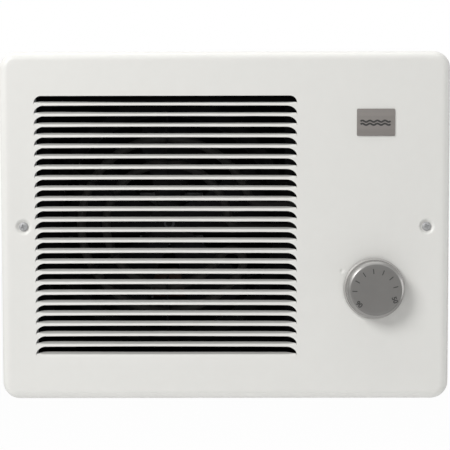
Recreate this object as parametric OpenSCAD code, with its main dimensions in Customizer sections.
// Bathroom wall fan heater, built in between two studs.
// X is right as seen from the room, Y goes into the wall, Z is up.
// The origin is the centre of the cover on the plane of the finished wall (y = 0).
// The cover stands in the room (y < 0), the can and what it holds lie in the wall (y > 0).

/* [Cover] */
// Width of the cover
cover_w = 311.15; // [300:1:340]
// Height of the cover
cover_h = 241.3; // [232:1:270]
// How far the cover stands off the wall
cover_d = 12.7; // [11:0.1:16]
// Sheet thickness of the cover
cover_t = 0.9; // [0.7:0.1:1.2]
// Radius of the rolled edge
cover_roll = 6.5; // [4:0.5:9]
// Radius of the cover's corners
cover_corner = 12; // [10:1:20]

/* [Louvres] */
// Number of louvres
louvre_n = 25; // [10:1:25]
// Distance from one louvre to the next
louvre_pitch = 7.245; // [7:0.005:7.5]
// Cover's left edge to the louvres
louvre_edge = 24.425; // [20:0.1:40]
// Louvres to the divider behind them
louvre_inset = 7.15; // [5:0.05:9]
// Height of the slot that a louvre is bent out of
louvre_h = 5.4; // [4.6:0.1:6]
// Radius of the slot's upper corners
louvre_corner = 3.6; // [2:0.1:4]
// Bend line of the top louvre above the centre
louvre_top = 85.2; // [80:0.1:90]
// How far a louvre is bent inwards
louvre_bend = 74; // [60:1:85]

/* [Cover screws] */
// Cover's side edge to the screw near it
screw_edge = 16.375; // [14:0.1:18]
// Height of the screws above the centre
screw_z = 0; // [-20:1:20]
// Radius of the screw thread
screw_r = 2.1; // [1.8:0.1:2.4]
// Radius of the screw head
screw_head_r = 3.4; // [3:0.1:4]
// Height of the screw head
screw_head_h = 2; // [1.6:0.1:2.4]
// Radius of the dimple that the screw sits in
dimple_r = 5.4; // [5:0.1:6]
// Depth of the dimple
dimple_depth = 2.4; // [1.5:0.1:3]

/* [Knob] */
// Knob axis to the right of the middle of the wiring compartment
knob_off = 2.2; // [-2:0.05:8]
// Knob axis above the centre
knob_z = -42.8; // [-55:0.1:-40]
// Radius of the knob's skirt
knob_skirt_r = 21.2; // [20:0.1:24]
// Radius of the knob's front rim
knob_rim_r = 19.6; // [18:0.1:20]
// Radius of the knob's flat face
knob_face_r = 17.5; // [16:0.1:18]
// Height of the knob
knob_h = 11.3; // [10:0.1:20]
// Wall of the knob
knob_wall = 1.8; // [1.4:0.1:2.4]
// Gap between the knob and the cover
knob_gap = 1; // [0.6:0.1:2]
// Angle of the index dimple round the knob axis
index_angle = 151; // [120:1:180]
// Distance of the index dimple from the knob axis
index_r = 24.9; // [24.5:0.1:28]

/* [Badge] */
// Badge centre to the right of the middle of the wiring compartment
badge_off = 3.1; // [-5:0.05:10]
// Badge centre above the cover's centre
badge_z = 71.5; // [60:0.1:80]
// Width of the badge
badge_w = 26.1; // [20:0.1:34]
// Height of the badge
badge_h = 18.6; // [12:0.1:24]
// Thickness of the badge
badge_t = 0.8; // [0.6:0.1:1.5]

/* [Can] */
// How far the cover reaches past the can at each side
cover_lap = 9.575; // [8:0.1:11]
// Outside height of the can
can_h = 216; // [212:1:222]
// Depth of the can
can_d = 92; // [92:1:110]
// Sheet thickness of the can and the plates in it
can_t = 0.9; // [0.8:0.1:1.2]
// Width of the can's side flanges
side_flange = 14; // [12:1:16]
// Width of the can's top and bottom flanges
end_flange = 8; // [6:1:12]
// Radius of a stud screw's hole
stud_hole_r = 2.4; // [2:0.1:3]
// Distance between the stud holes, front to back
stud_pitch_y = 50; // [40:1:56]
// Distance between the stud holes, top to bottom
stud_pitch_z = 150; // [120:1:160]
// Radius of a cable knockout
knockout_r = 11.1; // [9:0.1:12]

/* [Heater] */
// Can's left wall to the axis of heater and fan
heater_edge = 103.8; // [100:0.1:108]
// Heater axis to the divider
heater_room = 97.3; // [96:0.1:99]
// Radius of the air opening in the baffle
orifice_r = 78; // [77:1:80]
// Depth of the baffle behind the wall plane
baffle_y = 30; // [28:1:32]
// Radius of the element's tube
element_tube_r = 3.2; // [2.5:0.1:4]
// Radius of the element's outer ring
element_outer_r = 62; // [58:1:64]
// Radius of the element's inner ring
element_inner_r = 44; // [40:1:46]
// Depth of the element behind the wall plane
element_y = 14; // [12:1:15]

/* [Fan and motor] */
// Radius of the fan
fan_r = 74; // [60:1:75]
// Number of blades
fan_blades = 5; // [3:1:6]
// Width of a blade near its tip
fan_blade_w = 52; // [36:1:54]
// Pitch of the blades
fan_pitch = 21; // [14:1:22]
// Radius of the motor shaft
shaft_r = 2.38; // [2:0.01:3]
// Radius of the rotor
rotor_r = 12.7; // [11:0.1:13]
// Thickness of the lamination stack
stack_t = 18; // [14:1:19]
// Radial play of a shaft in its bearing
bearing_play = 0.04; // [0.02:0.01:0.08]
// Gap between the rotor and the stack
rotor_gap = 0.4; // [0.3:0.05:0.6]

/* [Thermostat] */
// Width of the thermostat
stat_w = 42; // [36:1:44]
// Height of the thermostat
stat_h = 38; // [32:1:44]
// Depth of the thermostat
stat_d = 26; // [22:1:34]
// Radius of the thermostat's shaft
stat_shaft_r = 3.175; // [2.8:0.005:3.5]
// Radius of the thermostat's threaded neck
neck_r = 4.75; // [4.5:0.05:5.5]
// Across-flats size of the neck's nut
neck_nut_af = 14; // [13:0.5:16]

/* [Wiring] */
// Radius of an insulated lead
lead_r = 1.4; // [1:0.1:1.8]

/* [Hidden] */
$fn = 64;
more = 1;        // how far a cut runs past the faces that it opens
slide = 0.15;    // clearance between fixed pieces that pass through each other
front_y = -cover_d;                 // front face of the cover
back_y = front_y + cover_t;         // back face of the cover's panel
can_w = cover_w - 2 * cover_lap;    // outside width of the can in the wall
can_in_x = can_w / 2 - can_t;       // inner face of the can's side walls
heater_x = heater_edge - can_in_x;  // axis of heater and fan
can_in_z = can_h / 2 - can_t;       // inner face of the can's top and bottom
can_in_y = can_d - can_t;           // inner face of the can's back
divider_x = heater_x + heater_room; // left face of the divider
louvre_left = louvre_edge - cover_w / 2;     // the louvres lie in front of the heater
louvre_right = divider_x - louvre_inset;
louvre_w = louvre_right - louvre_left;
louvre_x = (louvre_left + louvre_right) / 2;
louvre_gap = 0.3;                   // cut between a louvre's ends and its slot
screw_span = cover_w - 2 * screw_edge;
bay_mid = (divider_x + can_in_x) / 2;        // middle of the wiring compartment
knob_x = bay_mid + knob_off;
badge_x = bay_mid + badge_off;
divider_flange = 12;
baffle_z = 91;                      // half height of the baffle
baffle_lip = 6;                     // how far the opening's lip reaches forward
baffle_flange = 16;
baffle_screw_y = baffle_y + 10;
baffle_screw_z = 70;
window_in = 36;                     // inner corner of the baffle's corner windows
window_out = baffle_z - 6;
window_rim = 11;                    // sheet left between the opening and the windows
sheet_screw_r = 1.7;                // self-tapping screws in the sheet metal
sheet_head_r = 3.6;
sheet_head_h = 1.6;
sheet_screw_l = 7;
baffle_screw_l = 4;
// element
element_gap_angle = 30;             // where the two rings are joined, below the right side
element_out_angle = 20;             // where the outer ring leaves for its terminal
element_in_angle = 8;               // where the inner ring leaves for its terminal
element_bend_r = 10;
element_play = 0.05;                // between the tube and what holds it
bushing_r = 5.6;
bushing_collar_r = 7;
bushing_t = 5;
terminal_l = 16;                    // from the divider to the end of a terminal
bracket_angles = [90, 150, 210, 270];
bracket_t = 1;
bracket_foot = 8;
rivet_r = 1.5;
rivet_head_r = 2.8;
rivet_head_h = 0.9;
// limit switch, on the divider
limit_y = 19;
limit_z = 62;
limit_r = 8;
limit_pitch = 26;
// fan and motor, front to back
fan_y = 40;                         // middle of the blades
fan_t = 1;
fan_camber_r = 110;
fan_hub_r = 6;
fan_disc_r = 15;
fan_hub_back = 52.5;
stack_y = 62;                       // front face of the stack
stack_w = 48;
stack_top = 22;
stack_bottom = -52;
bar_h = 12;                         // the bar that the winding sits on
window_w = 30;                      // width of the winding's window
window_top = -18;
motor_screw_x = 18.6;
motor_screw_r = 1.9;
bracket_h = 13;                     // height of the two bearing brackets
bracket_rise = 4.5;                 // how far they stand off the stack
bracket_plate = 2.4;
hub_r = 6;
rotor_over = 1;                     // how far the rotor reaches past the stack
strap_t = 1.2;
strap_h = 20;
strap_foot = 10;
strap_y = stack_y - bracket_rise - strap_t;
strap_arm_x = orifice_r + 6;
shaft_front = fan_y - 4;
shaft_back = stack_y + stack_t + bracket_rise + 4;
// thermostat
neck_l = 6;                         // how far the neck reaches in front of the wall plane
neck_nut_h = 2.4;
stat_play = 0.05;                   // radial play of the shaft in its neck
stat_shaft_back = 12;
flat_depth = 1;                     // depth of the flat on the shaft's end
knob_back_y = front_y - knob_gap;
knob_front_y = knob_back_y - knob_h;
knob_hub_r = 6;
knob_face_t = 2;
stat_shaft_front = knob_front_y + knob_face_t + 0.6;
cover_hole_r = 5.6;
clip_t = 0.5;
clip_l = knob_h - knob_face_t - 1.1;   // the clip ends short of the knob's face
push_nut_r = 4;
// control plate, over the wiring compartment
plate_right = can_w / 2 - side_flange + 4;
plate_notch = 18;
plate_screw_z = 85;
badge_pin_x = badge_w / 2 - 5;
badge_pin_r = 1.2;
// wiring compartment
block_w = 44;
block_h = 18;
block_d = 14;
block_x = 74;
block_z = 24;
block_screw_r = 3.4;
block_screw_h = 2;
ground_x = can_in_x - 18;
ground_z = 40;
entry_x = divider_x + 44;           // knockouts at the top, the bottom and the back
entry_y = can_d - 30;
back_entry_z = 76;
grommet_z = -30;
grommet_y = 70;
grommet_r = 5;
push_tab_w = 6.3;                   // flat push-on terminals
push_tab_t = 0.8;
stat_tab_x = 9;                     // the thermostat's terminals, from its axis
stat_tab_l = 8;

// ---- helpers ----
module block(x0, x1, y0, y1, z0, z1) translate([x0, y0, z0]) cube([x1 - x0, y1 - y0, z1 - z0]);
module rod_x(r, x0, x1) translate([x0, 0, 0]) rotate([0, 90, 0]) cylinder(r = r, h = x1 - x0);
module rod_y(r, y0, y1) translate([0, y0, 0]) rotate([-90, 0, 0]) cylinder(r = r, h = y1 - y0);
module rod_z(r, z0, z1) translate([0, 0, z0]) cylinder(r = r, h = z1 - z0);

// a flat outline in X and Z, made solid from y0 to y1
module sheet_y(y0, y1) translate([0, y1, 0]) rotate([90, 0, 0]) linear_extrude(y1 - y0) children();

module rounded(w, h, r) {
  square([w - 2 * r, h], center = true);
  square([w, h - 2 * r], center = true);
  for (x = [-1, 1], z = [-1, 1]) translate([x * (w / 2 - r), z * (h / 2 - r)]) circle(r);
}

function unit(v) = v / norm(v);

// the direction of a route at each of its points
function headings(route) = [for (i = [0 : len(route) - 1])
  unit(route[min(i + 1, len(route) - 1)] - route[max(i - 1, 0)])];

// sideways directions that turn as little as they can along a route
function sideways(dirs, done) = len(done) == len(dirs) ? done :
  let (last = done[len(done) - 1], dir = dirs[len(done)])
    sideways(dirs, concat(done, [unit(last - (last * dir) * dir)]));

// a curve through all of the points, with a few steps from each to the next
function curve(points, steps) = let (n = len(points) - 1) concat(
  [for (i = [0 : n - 1], k = [0 : steps - 1])
    let (a = points[max(i - 1, 0)], b = points[i], c = points[i + 1], d = points[min(i + 2, n)])
      curve_point(a, b, c, d, k / steps)],
  [points[n]]);

function curve_point(a, b, c, d, t) = 0.5 * (2 * b + (c - a) * t
  + (2 * a - 5 * b + 4 * c - d) * t * t + (3 * b - a - 3 * c + d) * t * t * t);

function arc_points(r, from, to, steps) = [for (i = [0 : steps])
  let (a = from + (to - from) * i / steps) [r * cos(a), 0, r * sin(a)]];

function moved(points, by) = [for (p = points) p + by];

// a round tube along a route
module tube(route, r, sides) {
  dirs = headings(route);
  first = unit(cross(dirs[0], abs(dirs[0][1]) < 0.9 ? [0, 1, 0] : [1, 0, 0]));
  sides_out = sideways(dirs, [first]);
  last = len(route) - 1;
  polyhedron(
    points = [for (i = [0 : last], j = [0 : sides - 1]) let (a = j * 360 / sides)
      route[i] + r * (sides_out[i] * cos(a) + cross(dirs[i], sides_out[i]) * sin(a))],
    faces = concat(
      [[for (j = [0 : sides - 1]) j]],
      [[for (j = [sides - 1 : -1 : 0]) last * sides + j]],
      [for (i = [0 : last - 1], j = [0 : sides - 1]) let (n = (j + 1) % sides)
        [i * sides + j, (i + 1) * sides + j, (i + 1) * sides + n]],
      [for (i = [0 : last - 1], j = [0 : sides - 1]) let (n = (j + 1) % sides)
        [i * sides + j, (i + 1) * sides + n, i * sides + n]]));
}

module lead(points) tube(curve(points, 3), lead_r, 8);

// ---- cover ----
// half of the section of the cover's edge: a straight skirt and a rolled corner
module edge_section(width, depth, roll) {
  square([width - roll, depth]);
  square([width, depth - roll]);
  translate([width - roll, depth - roll]) intersection() { circle(roll); square(roll); }
}

// a shallow pan, open at the wall, with rolled edges all round
module pan(w, h, depth, corner, roll) {
  rotate([90, 0, 0]) {
    translate([-w / 2 + corner, 0, 0]) rotate([90, 0, 90]) linear_extrude(w - 2 * corner)
      for (m = [0, 1]) mirror([m, 0]) edge_section(h / 2, depth, roll);
    for (m = [0, 1]) mirror([m, 0, 0]) {
      translate([w / 2 - corner, h / 2 - corner, 0]) rotate([90, 0, 0])
        linear_extrude(h - 2 * corner) edge_section(corner, depth, roll);
      for (n = [0, 1]) mirror([0, n, 0]) translate([w / 2 - corner, h / 2 - corner, 0])
        rotate_extrude(angle = 90) edge_section(corner, depth, roll);
    }
  }
}

module louvre_outline(w, h, r) {
  translate([-w / 2, 0]) square([w, h - r]);
  translate([-w / 2 + r, 0]) square([w - 2 * r, h]);
  for (m = [0, 1]) mirror([m, 0]) translate([w / 2 - r, h - r])
    intersection() { circle(r); square(r); }
}

module louvre_places() for (i = [0 : louvre_n - 1])
  translate([louvre_x, 0, louvre_top - i * louvre_pitch]) children();

module screw_places() for (m = [0, 1]) mirror([m, 0, 0])
  translate([screw_span / 2, 0, screw_z]) children();

module front_grille() color("#e8e7e4") {
  skirt = cover_d - cover_roll;
  difference() {
    union() {
      difference() {
        union() {
          intersection() {
            pan(cover_w, cover_h, cover_d, cover_corner, cover_roll);
            block(-cover_w, cover_w, -cover_d - more, -skirt, -cover_h, cover_h);
          }
          sheet_y(-skirt, 0) rounded(cover_w, cover_h, cover_corner);
        }
        translate([0, more, 0]) pan(cover_w - 2 * cover_t, cover_h - 2 * cover_t,
          cover_d - cover_t + more, cover_corner - cover_t, cover_roll - cover_t);
      }
      screw_places() rod_y(dimple_r + cover_t, back_y - cover_t / 2, back_y + dimple_depth);
    }
    louvre_places() sheet_y(front_y - more, back_y + more)
      louvre_outline(louvre_w, louvre_h, louvre_corner);
    screw_places() {
      translate([0, front_y, 0]) rotate([-90, 0, 0])
        cylinder(r1 = dimple_r, r2 = dimple_r - 0.8, h = dimple_depth);
      rod_y(screw_r + slide, front_y, cover_d);
    }
    translate([knob_x, 0, knob_z]) {
      rod_y(cover_hole_r, front_y - more, back_y + more);
      translate([index_r * cos(index_angle), front_y - 0.8, index_r * sin(index_angle)])
        sphere(1.4);
    }
    for (x = [-1, 1]) translate([badge_x + x * badge_pin_x, 0, badge_z])
      rod_y(badge_pin_r + slide, front_y - more, back_y + more);
  }
  louvre_places() translate([0, back_y, 0]) {
    tab_w = louvre_w - 2 * louvre_gap;
    rod_x(cover_t - 0.05, -(tab_w + louvre_gap) / 2, (tab_w + louvre_gap) / 2);
    rotate([-louvre_bend, 0, 0]) sheet_y(-cover_t, 0)
      louvre_outline(tab_w, louvre_h, louvre_corner);
  }
}

module badge_plate() color("#86817c") translate([badge_x, 0, badge_z]) {
  sheet_y(front_y - badge_t, front_y) rounded(badge_w, badge_h, 0.8);
  for (x = [-1, 1]) translate([x * badge_pin_x, 0, 0])
    rod_y(badge_pin_r, front_y - badge_t / 2, back_y + 2.5);
}

module badge_push_nuts() color("#b9bbbd") for (x = [-1, 1])
  translate([badge_x + x * badge_pin_x, 0, badge_z]) difference() {
    rod_y(3.2, back_y, back_y + 0.6);
    rod_y(badge_pin_r, back_y - more, back_y + 0.6 + more);
  }

module cover_screws() color("#a9abad") screw_places() {
  floor_y = front_y + dimple_depth;
  difference() {
    rod_y(screw_head_r, floor_y - screw_head_h, floor_y);
    for (a = [0, 90]) rotate([0, a + 20, 0])
      block(-2.1, 2.1, floor_y - screw_head_h - more, floor_y - screw_head_h + 1.2, -0.45, 0.45);
  }
  rod_y(screw_r, floor_y - 0.5, can_t + 8);
}

module speed_nuts() color("#3f4144") for (m = [0, 1]) mirror([m, 0, 0]) {
  inner = can_w / 2 - side_flange;
  half = 5.5;
  leaf = 0.6;
  difference() {
    translate([0, 0, screw_z]) {
      block(inner - leaf, screw_span / 2 + 3.6, -leaf, 0, -half, half);
      block(inner - leaf, screw_span / 2 + 3.6, can_t, can_t + leaf, -half, half);
      block(inner - leaf, inner, -leaf, can_t + leaf, -half, half);
    }
    translate([screw_span / 2, 0, screw_z]) rod_y(screw_r, -more, can_t + more);
  }
}

// ---- knob ----
// half of the knob's outer section, as radius and height above its back
module knob_outline() polygon([
  [0, 0], [knob_skirt_r, 0], [knob_skirt_r, 1.8], [knob_rim_r + 0.5, 3.6],
  [knob_rim_r, knob_h - 1.6], [knob_rim_r - 0.4, knob_h - 0.5], [knob_face_r, knob_h], [0, knob_h]
]);

module knob_inside() polygon([
  [knob_hub_r, -more], [knob_skirt_r - knob_wall, -more], [knob_skirt_r - knob_wall, 1],
  [knob_rim_r - knob_wall, 3], [knob_rim_r - knob_wall, knob_h - knob_face_t],
  [knob_hub_r, knob_h - knob_face_t]
]);

module shaft_section(r) difference() {
  circle(r);
  translate([-r, r - flat_depth]) square(2 * r);
}

module control_knob() color("#7d7a76") translate([knob_x, knob_back_y, knob_z]) difference() {
  rotate([90, 0, 0]) rotate_extrude() knob_outline();
  rotate([90, 0, 0]) rotate_extrude() knob_inside();
  sheet_y(stat_shaft_front - knob_back_y - 0.2, more) shaft_section(stat_shaft_r);
  block(-2.5, 2.5, -clip_l - 0.2, more, stat_shaft_r - flat_depth - 0.01, stat_shaft_r - flat_depth + clip_t);
}

module knob_spring_clip() color("#c9cbcd") translate([knob_x, knob_back_y, knob_z])
  block(-2.4, 2.4, -clip_l, 0, stat_shaft_r - flat_depth, stat_shaft_r - flat_depth + clip_t);

module thermostat_shaft() color("#c5a24f") translate([knob_x, 0, knob_z]) {
  rod_y(stat_shaft_r, knob_back_y + 0.5, stat_shaft_back);
  sheet_y(stat_shaft_front, knob_back_y + 0.5) shaft_section(stat_shaft_r);
}

// ---- can ----
module stud_holes() for (m = [0, 1], y = [-1, 1], z = [-1, 1]) mirror([m, 0, 0])
  translate([0, can_d / 2 + y * stud_pitch_y / 2, z * stud_pitch_z / 2])
    rod_x(stud_hole_r, can_in_x - more, can_w / 2 + more);

// the bottom knockout is open for the supply cable; the top and back ones are closed
module closed_knockouts() {
  translate([entry_x, entry_y, 0]) rod_z(knockout_r, can_in_z, can_h / 2);
  translate([entry_x, 0, back_entry_z]) rod_y(knockout_r, can_in_y, can_d);
}

module sheet_screw(l) {
  rod_y(sheet_head_r, -sheet_head_h, 0);
  rod_y(sheet_screw_r, -sheet_head_h / 2, l);
}

module sheet_screw_hole() rod_y(sheet_screw_r, -sheet_head_h, 20);

module baffle_screw_places() {
  for (z = [-1, 1]) {
    translate([-can_in_x + can_t, baffle_screw_y, z * baffle_screw_z]) rotate([0, 0, 90]) children();
    translate([divider_x - can_t, baffle_screw_y, z * baffle_screw_z]) rotate([0, 0, -90]) children();
  }
}

module wall_can() color("#b7babb") difference() {
  block(-can_w / 2, can_w / 2, 0, can_d, -can_h / 2, can_h / 2);
  block(-can_in_x, can_in_x, can_t, can_in_y, -can_in_z, can_in_z);
  block(side_flange - can_w / 2, can_w / 2 - side_flange, -more, can_t + more,
    end_flange - can_h / 2, can_h / 2 - end_flange);
  stud_holes();
  closed_knockouts();
  translate([entry_x, entry_y, 0]) rod_z(knockout_r, -can_h / 2 - more, -can_in_z + more);
  screw_places() rod_y(screw_r + 0.6, -more, can_t + more);
  baffle_screw_places() sheet_screw_hole();
  control_plate_screw_places() sheet_screw_hole();
  translate([ground_x, can_in_y, ground_z]) rod_y(screw_r, -more, can_t + more);
}

module knockout_slugs() color("#b7babb") {
  translate([entry_x, entry_y, 0]) rod_z(knockout_r - slide, can_in_z, can_h / 2);
  translate([entry_x, 0, back_entry_z]) rod_y(knockout_r - slide, can_in_y, can_d);
}

module ground_screw() color("#4f8f4a") translate([ground_x, can_in_y, ground_z]) {
  difference() {
    rod_y(4.2, -2.6, 0);
    block(-4.2 - more, 4.2 + more, -2.6 - more, -1.4, -0.5, 0.5);
  }
  rod_y(screw_r, -0.5, can_t + 2);
}

module divider_plate() color("#b7babb") difference() {
  union() {
    block(divider_x, divider_x + can_t, 0, can_in_y, end_flange - can_h / 2,
      can_h / 2 - end_flange);
    block(divider_x, divider_x + can_t, can_t, can_in_y, -can_in_z, can_in_z);
    block(divider_x, divider_x + divider_flange, 0, can_t, end_flange - can_h / 2,
      can_h / 2 - end_flange);
    block(divider_x, divider_x + divider_flange, can_in_y - can_t, can_in_y, -90, 90);
  }
  element_leads_places() rod_x(bushing_r, divider_x - more, divider_x + can_t + more);
  translate([0, limit_y, limit_z]) {
    rod_x(limit_r + slide, divider_x - more, divider_x + can_t + more);
  }
  limit_screw_places() sheet_screw_hole();
  baffle_screw_places() sheet_screw_hole();
  control_plate_screw_places() sheet_screw_hole();
  translate([0, grommet_y, grommet_z]) rod_x(grommet_r, divider_x - more,
    divider_x + can_t + more);
}

// ---- baffle ----
module baffle_plate() color("#303133") difference() {
  union() {
    block(-can_in_x, divider_x, baffle_y, baffle_y + can_t, -baffle_z, baffle_z);
    translate([heater_x, 0, 0]) rod_y(orifice_r + can_t, baffle_y - baffle_lip, baffle_y);
    for (x = [-can_in_x, divider_x - can_t])
      block(x, x + can_t, baffle_y, baffle_y + baffle_flange, -baffle_z, baffle_z);
  }
  translate([heater_x, 0, 0])
    rod_y(orifice_r, baffle_y - baffle_lip - more, baffle_y + can_t + more);
  sheet_y(baffle_y - more, baffle_y + can_t + more) difference() {
    for (m = [0, 1], n = [0, 1]) translate([heater_x, 0]) mirror([m, 0]) mirror([0, n])
      translate([window_in, window_in]) square(window_out - window_in);
    translate([heater_x, 0]) circle(orifice_r + window_rim);
  }
  baffle_screw_places() sheet_screw_hole();
  bracket_rivet_places() rod_y(rivet_r, baffle_y - more, baffle_y + can_t + more);
  strap_rivet_places() rod_y(rivet_r, baffle_y - more, baffle_y + can_t + more);
}

module baffle_screws() color("#a9abad") baffle_screw_places() sheet_screw(baffle_screw_l);

// ---- heating element ----
element_bracket_foot_r = orifice_r + can_t + 1 + bracket_foot / 2;

// x runs outwards from the heater's axis
module element_bracket_places() for (a = bracket_angles)
  translate([heater_x, 0, 0]) rotate([0, -a, 0]) children();

module bracket_rivet_places() element_bracket_places()
  translate([element_bracket_foot_r, 0, bracket_foot / 2]) children();

function lead_out_x(ring, angle) = (ring + element_bend_r) * cos(angle);
function lead_out_z(ring, angle) = (ring + element_bend_r) * sin(angle) - element_bend_r;

// from the divider along a straight end and round its bend to where the ring starts
function element_end(ring, angle) = concat(
  [[divider_x + bushing_t - heater_x, 0, lead_out_z(ring, angle)]],
  moved(arc_points(element_bend_r, 270, angle + 180, 5),
    [lead_out_x(ring, angle), 0, (ring + element_bend_r) * sin(angle)]));

function reversed(list) = [for (i = [len(list) - 1 : -1 : 0]) list[i]];
function inner_points(list) = [for (i = [1 : len(list) - 2]) list[i]];

// the rings have a point at each bracket, so that they run straight through its holes
function element_ring(ring, from, to) = concat(
  inner_points(arc_points(ring, from, 90, 8)), arc_points(ring, 90, 270, 18),
  inner_points(arc_points(ring, 270, to, 7)));

element_joint_angle = 360 - element_gap_angle;
element_middle_r = (element_outer_r + element_inner_r) / 2;
element_route = concat(
  element_end(element_outer_r, element_out_angle),
  element_ring(element_outer_r, element_out_angle, element_joint_angle),
  moved(arc_points((element_outer_r - element_inner_r) / 2, element_joint_angle,
    element_joint_angle + 180, 8),
    [element_middle_r * cos(element_joint_angle), 0, element_middle_r * sin(element_joint_angle)]),
  reversed(element_ring(element_inner_r, element_in_angle, element_joint_angle)),
  reversed(element_end(element_inner_r, element_in_angle)));

module element_leads_places() {
  for (e = [[element_outer_r, element_out_angle], [element_inner_r, element_in_angle]])
    translate([0, element_y, lead_out_z(e[0], e[1])]) children();
}

module heating_element() color("#454341")
  tube(moved(element_route, [heater_x, element_y, 0]), element_tube_r, 12);

module element_terminals() color("#c9cbcd") element_leads_places() {
  rod_x(1.2, divider_x + bushing_t, divider_x + terminal_l - 6);
  block(divider_x + terminal_l - 7, divider_x + terminal_l, -push_tab_t / 2, push_tab_t / 2,
    -push_tab_w / 2, push_tab_w / 2);
}

module element_bushings() color("#efe9dc") element_leads_places() difference() {
  union() {
    rod_x(bushing_r, divider_x, divider_x + bushing_t);
    rod_x(bushing_collar_r, divider_x - 3, divider_x);
  }
  rod_x(element_tube_r + element_play, divider_x - 4, divider_x + bushing_t + more);
}

module element_brackets() color("#303133") element_bracket_places() difference() {
  union() {
    inner = element_inner_r - element_tube_r - 4;
    foot = element_bracket_foot_r - bracket_foot / 2;
    block(inner, element_outer_r + element_tube_r + 4, element_y - 7, element_y + 7,
      -bracket_t / 2, bracket_t / 2);
    block(element_outer_r + element_tube_r, foot, element_y, element_y + 7,
      -bracket_t / 2, bracket_t / 2);
    block(foot, foot + bracket_t, element_y, baffle_y, -bracket_t / 2, bracket_t / 2);
    block(foot, foot + bracket_foot, baffle_y - bracket_t, baffle_y, -bracket_t / 2,
      bracket_foot);
  }
  for (r = [element_inner_r, element_outer_r]) translate([r, element_y, 0])
    rod_z(element_tube_r + element_play, -more, more);
  translate([element_bracket_foot_r, 0, bracket_foot / 2])
    rod_y(rivet_r, baffle_y - 3, baffle_y + more);
}

module rivet(y0, y1) {
  rod_y(rivet_r, y0, y1);
  rod_y(rivet_head_r, y0 - rivet_head_h, y0);
  rod_y(rivet_head_r, y1, y1 + rivet_head_h);
}

module bracket_rivets() color("#303133") bracket_rivet_places()
  rivet(baffle_y - bracket_t, baffle_y + can_t);

// ---- limit switch ----
limit_switch_plate = 1;
limit_tab_y = 4.5;                  // its two terminals, from its middle

module limit_screw_places() for (z = [-1, 1])
  translate([divider_x - limit_switch_plate, limit_y, limit_z + z * limit_pitch / 2])
    rotate([0, 0, -90]) children();

module limit_switch() color("#3b3a38") difference() {
  translate([0, limit_y, limit_z]) {
    rod_x(limit_r + 1, divider_x - limit_switch_plate - 4, divider_x - limit_switch_plate);
    block(divider_x - limit_switch_plate, divider_x, -4, 4, -limit_pitch / 2 - 4,
      limit_pitch / 2 + 4);
    rod_x(limit_r, divider_x - limit_switch_plate / 2, divider_x + 8);
    for (y = [-1, 1]) block(divider_x + 8, divider_x + terminal_l, y * limit_tab_y - push_tab_t / 2,
      y * limit_tab_y + push_tab_t / 2, -push_tab_w / 2, push_tab_w / 2);
  }
  limit_screw_places() sheet_screw_hole();
}

module limit_switch_screws() color("#a9abad") limit_screw_places() sheet_screw(sheet_screw_l);

// ---- fan ----
module fan_blade_outline() intersection() {
  circle(fan_r);
  scale_w = fan_blade_w / 2;
  polygon([[-8, 8], [8, 8], [0.5 * scale_w, 0.4 * fan_r], [0.88 * scale_w, 0.66 * fan_r],
    [scale_w, 0.88 * fan_r], [0.7 * scale_w, fan_r + 4], [-0.66 * scale_w, fan_r + 4],
    [-0.82 * scale_w, 0.8 * fan_r], [-0.48 * scale_w, 0.45 * fan_r]]);
}

module fan_blade() color("#3a3b3d") translate([heater_x, 0, 0]) difference() {
  union() {
    for (i = [0 : fan_blades - 1]) rotate([0, i * 360 / fan_blades, 0]) intersection() {
      sheet_y(fan_y - 25, fan_y + 25) fan_blade_outline();
      translate([0, fan_y, 0]) rotate([0, 0, fan_pitch]) translate([0, fan_camber_r, 0])
        difference() {
          rod_z(fan_camber_r + fan_t / 2, 0, fan_r + 6);
          rod_z(fan_camber_r - fan_t / 2, -more, fan_r + 6 + more);
          block(-2 * fan_camber_r, 2 * fan_camber_r, 0, 2 * fan_camber_r, -more, 2 * fan_r);
        }
    }
    rod_y(fan_disc_r, fan_y - 1, fan_y + 1);
    rod_y(fan_hub_r, fan_y - 2, fan_hub_back);
  }
  rod_y(shaft_r, 0, can_d);
}

module fan_push_nut() color("#3f4144") translate([heater_x, 0, 0]) difference() {
  rod_y(push_nut_r, fan_y - 3, fan_y - 2);
  rod_y(shaft_r, 0, can_d);
}

// ---- motor ----
module motor_screw_places() for (x = [-1, 1])
  translate([heater_x + x * motor_screw_x, 0, 0]) children();

module motor_laminations() color("#505153") difference() {
  translate([heater_x, 0, 0]) sheet_y(stack_y, stack_y + stack_t) difference() {
    translate([-stack_w / 2, stack_bottom]) square([stack_w, stack_top - stack_bottom]);
    circle(rotor_r + rotor_gap);
    translate([-window_w / 2, stack_bottom + bar_h])
      square([window_w, window_top - stack_bottom - bar_h]);
  }
  motor_screw_places() rod_y(motor_screw_r, stack_y - more, stack_y + stack_t + more);
}

bobbin_wall = 1.5;
winding_h = 6;
module motor_bobbin() color("#2f2e2d") translate([heater_x, 0, 0]) {
  middle_z = stack_bottom + bar_h / 2;
  reach = bar_h / 2 + winding_h;
  deep = winding_h;
  difference() {
    for (x = [-window_w / 2, window_w / 2 - bobbin_wall]) translate([x, 0, middle_z])
      block(0, bobbin_wall, stack_y - deep, stack_y + stack_t + deep, -reach, reach);
    bobbin_core(0, 2);
  }
  difference() {
    bobbin_core(bobbin_wall, 0);
    bobbin_core(0, 2);
  }
}

// the bar that the winding goes round, grown by a wall
module bobbin_core(wall, longer) block(-window_w / 2 - longer, window_w / 2 + longer,
  stack_y - wall, stack_y + stack_t + wall, stack_bottom - wall, stack_bottom + bar_h + wall);

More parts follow.
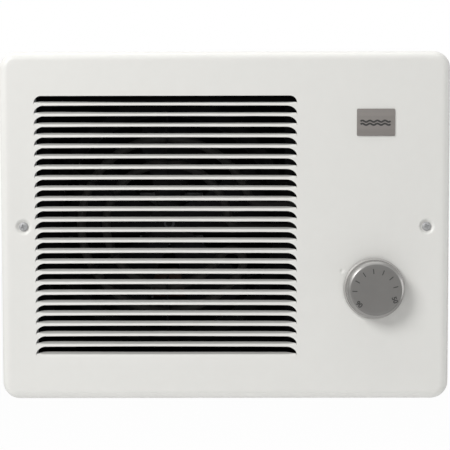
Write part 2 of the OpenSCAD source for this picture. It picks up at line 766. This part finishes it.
module motor_winding() color("#5f3a26") translate([heater_x, 0, 0]) difference() {
  deep = winding_h - 0.8;
  block(-window_w / 2 + bobbin_wall, window_w / 2 - bobbin_wall, stack_y - deep,
    stack_y + stack_t + deep, stack_bottom - deep, stack_bottom + bar_h + deep);
  bobbin_core(bobbin_wall, 2);
}

// a die-cast bar with a bearing in its middle; y runs away from the stack
module bearing_bracket(hub_l) difference() {
  union() {
    for (x = [-1, 1]) translate([x * motor_screw_x, 0, 0]) rod_y(5, 0, bracket_rise);
    block(-motor_screw_x, motor_screw_x, bracket_rise - bracket_plate, bracket_rise,
      -bracket_h / 2 + 1.5, bracket_h / 2 - 1.5);
    rod_y(hub_r, bracket_rise - bracket_plate, bracket_rise + hub_l);
  }
  rod_y(shaft_r + bearing_play, -more, bracket_rise + hub_l + more);
  for (x = [-1, 1]) translate([x * motor_screw_x, 0, 0])
    rod_y(motor_screw_r, -more, bracket_rise + more);
}

module motor_front_bracket() color("#a7aaac")
  translate([heater_x, stack_y, 0]) mirror([0, 1, 0]) bearing_bracket(3);

module motor_rear_bracket() color("#a7aaac")
  translate([heater_x, stack_y + stack_t, 0]) bearing_bracket(3);

module motor_rotor() color("#8c8e90") translate([heater_x, 0, 0]) difference() {
  rod_y(rotor_r, stack_y - rotor_over, stack_y + stack_t + rotor_over);
  rod_y(shaft_r, 0, can_d);
}

module motor_shaft() color("#d0d2d3") translate([heater_x, 0, 0])
  rod_y(shaft_r, shaft_front, shaft_back);

module motor_screws() color("#a9abad") motor_screw_places() {
  rod_y(3.6, strap_y - 2.2, strap_y);
  rod_y(motor_screw_r, strap_y - 1, stack_y + stack_t + bracket_rise + 3);
}

module strap_rivet_places() for (m = [-1, 1], z = [-1, 1])
  translate([heater_x + m * (strap_arm_x + strap_t + 5), 0, z * 5]) children();

module motor_strap() color("#303133") difference() {
  translate([heater_x, 0, 0]) {
    block(-strap_arm_x - strap_t, strap_arm_x + strap_t, strap_y, strap_y + strap_t,
      -strap_h / 2, strap_h / 2);
    for (m = [0, 1]) mirror([m, 0, 0]) {
      block(strap_arm_x, strap_arm_x + strap_t, baffle_y + can_t, strap_y + strap_t,
        -strap_h / 2, strap_h / 2);
      block(strap_arm_x, strap_arm_x + strap_foot, baffle_y + can_t,
        baffle_y + can_t + strap_t, -strap_h / 2, strap_h / 2);
    }
  }
  translate([heater_x, 0, 0]) rod_y(hub_r + 1, strap_y - more, strap_y + strap_t + more);
  motor_screw_places() rod_y(motor_screw_r, strap_y - more, strap_y + strap_t + more);
  strap_rivet_places() rod_y(rivet_r, baffle_y, baffle_y + can_t + strap_t + more);
}

module strap_rivets() color("#a9abad") strap_rivet_places()
  rivet(baffle_y, baffle_y + can_t + strap_t);

// ---- controls ----
module control_plate_screw_places() for (z = [-1, 1])
  translate([divider_x + divider_flange / 2 + 1, -can_t, z * plate_screw_z]) children();

module control_plate() color("#b7babb") difference() {
  block(divider_x + 0.5, plate_right, -can_t, 0, 1 - can_h / 2, can_h / 2 - 1);
  block(can_w / 2 - side_flange - 3, plate_right + more, -can_t - more, more,
    screw_z - plate_notch / 2, screw_z + plate_notch / 2);
  translate([knob_x, 0, knob_z]) rod_y(neck_r + slide, -can_t - more, more);
  control_plate_screw_places() sheet_screw_hole();
}

module control_plate_screws() color("#a9abad") control_plate_screw_places()
  sheet_screw(sheet_screw_l);

module thermostat_body() color("#3a3532") translate([knob_x, 0, knob_z]) difference() {
  sheet_y(0, stat_d) rounded(stat_w, stat_h, 3);
  rod_y(neck_r, -more, 8);
  rod_y(stat_shaft_r + 0.4, 0, stat_shaft_back + 0.4);
}

module thermostat_neck() color("#c5a24f") translate([knob_x, 0, knob_z]) difference() {
  rod_y(neck_r, -neck_l, 8);
  rod_y(stat_shaft_r + stat_play, -neck_l - more, 8 + more);
}

module thermostat_nut() color("#c5a24f") translate([knob_x, 0, knob_z]) difference() {
  translate([0, -can_t, 0]) rotate([90, 0, 0])
    cylinder(r = neck_nut_af / 2 / cos(30), h = neck_nut_h, $fn = 6);
  rod_y(neck_r, -neck_l - more, more);
}

module thermostat_terminals() color("#c9a85a") for (x = [-1, 1])
  translate([knob_x + x * stat_tab_x, stat_d, knob_z])
    block(-push_tab_w / 2, push_tab_w / 2, 0, stat_tab_l, -push_tab_t / 2, push_tab_t / 2);

// ---- wiring ----
module terminal_places() for (i = [0 : 2])
  translate([block_screw_x(i), can_in_y - block_d, block_z]) children();

module terminal_block() color("#efe9dc") difference() {
  block(block_x, block_x + block_w, can_in_y - block_d, can_in_y, block_z - block_h / 2,
    block_z + block_h / 2);
  terminal_places() rod_y(1.8, -more, 7);
  for (i = [1, 2]) block(block_x + block_w * i / 3 - 0.8, block_x + block_w * i / 3 + 0.8,
    can_in_y - block_d - more, can_in_y - block_d + 3, block_z - block_h, block_z + block_h);
}

module terminal_screws() color("#c9a85a") terminal_places() {
  difference() {
    rod_y(block_screw_r, -block_screw_h, 0);
    block(-block_screw_r - more, block_screw_r + more, -block_screw_h - more,
      0.9 - block_screw_h, -0.4, 0.4);
  }
  rod_y(1.8, -0.5, 6.5);
}

module lead_grommet() color("#2a2a2a") translate([0, grommet_y, grommet_z]) difference() {
  union() {
    rod_x(grommet_r, divider_x - 1.6, divider_x + can_t + 1.6);
    for (x = [divider_x - 1.6, divider_x + can_t]) rod_x(grommet_r + 2, x, x + 1.6);
  }
  rod_x(grommet_r - 1, divider_x - 4, divider_x + 6);
}

lead_gap = 0.35;                    // from a lead's end to its terminal
lead_step = 10;                     // the way points of the leads are counted in these steps
stat_tab_y = stat_d + stat_tab_l + lead_gap;
screw_face_y = can_in_y - block_d - block_screw_h - lead_gap;
bay_x = divider_x + terminal_l + lead_gap;
outer_end_z = lead_out_z(element_outer_r, element_out_angle);
inner_end_z = lead_out_z(element_inner_r, element_in_angle);
function block_screw_x(i) = block_x + block_w * (i + 0.5) / 3;

// from the terminal block to the thermostat, and from the terminal block to the element
module supply_leads() color("#222222") {
  tab_x = knob_x - stat_tab_x;
  lead([[block_screw_x(0), screw_face_y, block_z],
    [block_screw_x(0), 6.6 * lead_step, block_z],
    [9, 5.8, 1.2] * lead_step, [9.8, 5.4, -0.8] * lead_step, [tab_x, 5 * lead_step, -2.6 * lead_step],
    [tab_x, 4.3 * lead_step, knob_z + 0.5 * lead_step], [tab_x, stat_tab_y, knob_z]]);
  lead([[block_screw_x(1), screw_face_y, block_z],
    [block_screw_x(1), 6.4 * lead_step, block_z],
    [9.2, 5.4, 2.3] * lead_step, [8.8, 4.4, 2.2] * lead_step, [8.2, 2.6, 1.7] * lead_step,
    [7.7 * lead_step, 1.6 * lead_step, outer_end_z], [bay_x, element_y, outer_end_z]]);
}

// from the thermostat to the limit switch, and from there to the element
module limit_leads() color("#8c2f2a") {
  tab_x = knob_x + stat_tab_x;
  lead([[tab_x, stat_tab_y, knob_z], [tab_x, 4.3 * lead_step, knob_z + 0.5 * lead_step],
    [11.4, 4.8, -2.2] * lead_step, [11.6, 4.6, 1] * lead_step, [10.4, 3, 4.6] * lead_step,
    [8.8 * lead_step, 2.4 * lead_step, limit_z],
    [7.8 * lead_step, limit_y + limit_tab_y, limit_z], [bay_x, limit_y + limit_tab_y, limit_z]]);
  lead([[bay_x, limit_y - limit_tab_y, limit_z],
    [7.9 * lead_step, limit_y - limit_tab_y, limit_z - 0.2 * lead_step],
    [8.4, 1.2, 5] * lead_step, [8.6, 0.9, 3] * lead_step, [8.4, 0.9, 1.2] * lead_step,
    [7.9, 1.2, 0] * lead_step, [bay_x, element_y, inner_end_z]]);
}

// from the motor's winding through the divider to the terminal block
module motor_leads() color("#222222") for (i = [0, 1]) {
  side = 2 * i - 1;
  apart = side * 0.2 * lead_step;
  start = [heater_x + window_w / 2 + lead_gap, stack_y + stack_t / 2 + 3 * apart,
    stack_bottom - 0.3 * lead_step];
  end_x = block_screw_x(1 + i);
  lead([start, start + [lead_step, 0, 0],
    [heater_x + 4 * lead_step, grommet_y + 1.5 * apart, -5 * lead_step],
    [2 * lead_step, grommet_y + apart, -4.2 * lead_step],
    [divider_x - 1.2 * lead_step, grommet_y + apart, grommet_z],
    [divider_x + 1.2 * lead_step, grommet_y + apart, grommet_z],
    [(8.4 + 0.4 * i) * lead_step, 6.8 * lead_step + 2 * apart, -1.6 * lead_step],
    [end_x - 0.3 * lead_step, 7.3 * lead_step, 0], [end_x, screw_face_y + 0.2, 1.1 * lead_step],
    [end_x, screw_face_y + 0.6, block_z - block_screw_r - lead_gap]]);
}

front_grille();
badge_plate();
badge_push_nuts();
control_knob();
knob_spring_clip();
cover_screws();
speed_nuts();
wall_can();
knockout_slugs();
ground_screw();
divider_plate();
baffle_plate();
baffle_screws();
heating_element();
element_terminals();
element_bushings();
element_brackets();
bracket_rivets();
limit_switch();
limit_switch_screws();
fan_blade();
fan_push_nut();
motor_laminations();
motor_bobbin();
motor_winding();
motor_front_bracket();
motor_rear_bracket();
motor_rotor();
motor_shaft();
motor_screws();
motor_strap();
strap_rivets();
control_plate();
control_plate_screws();
thermostat_body();
thermostat_neck();
thermostat_nut();
thermostat_shaft();
thermostat_terminals();
terminal_block();
terminal_screws();
lead_grommet();
supply_leads();
limit_leads();
motor_leads();
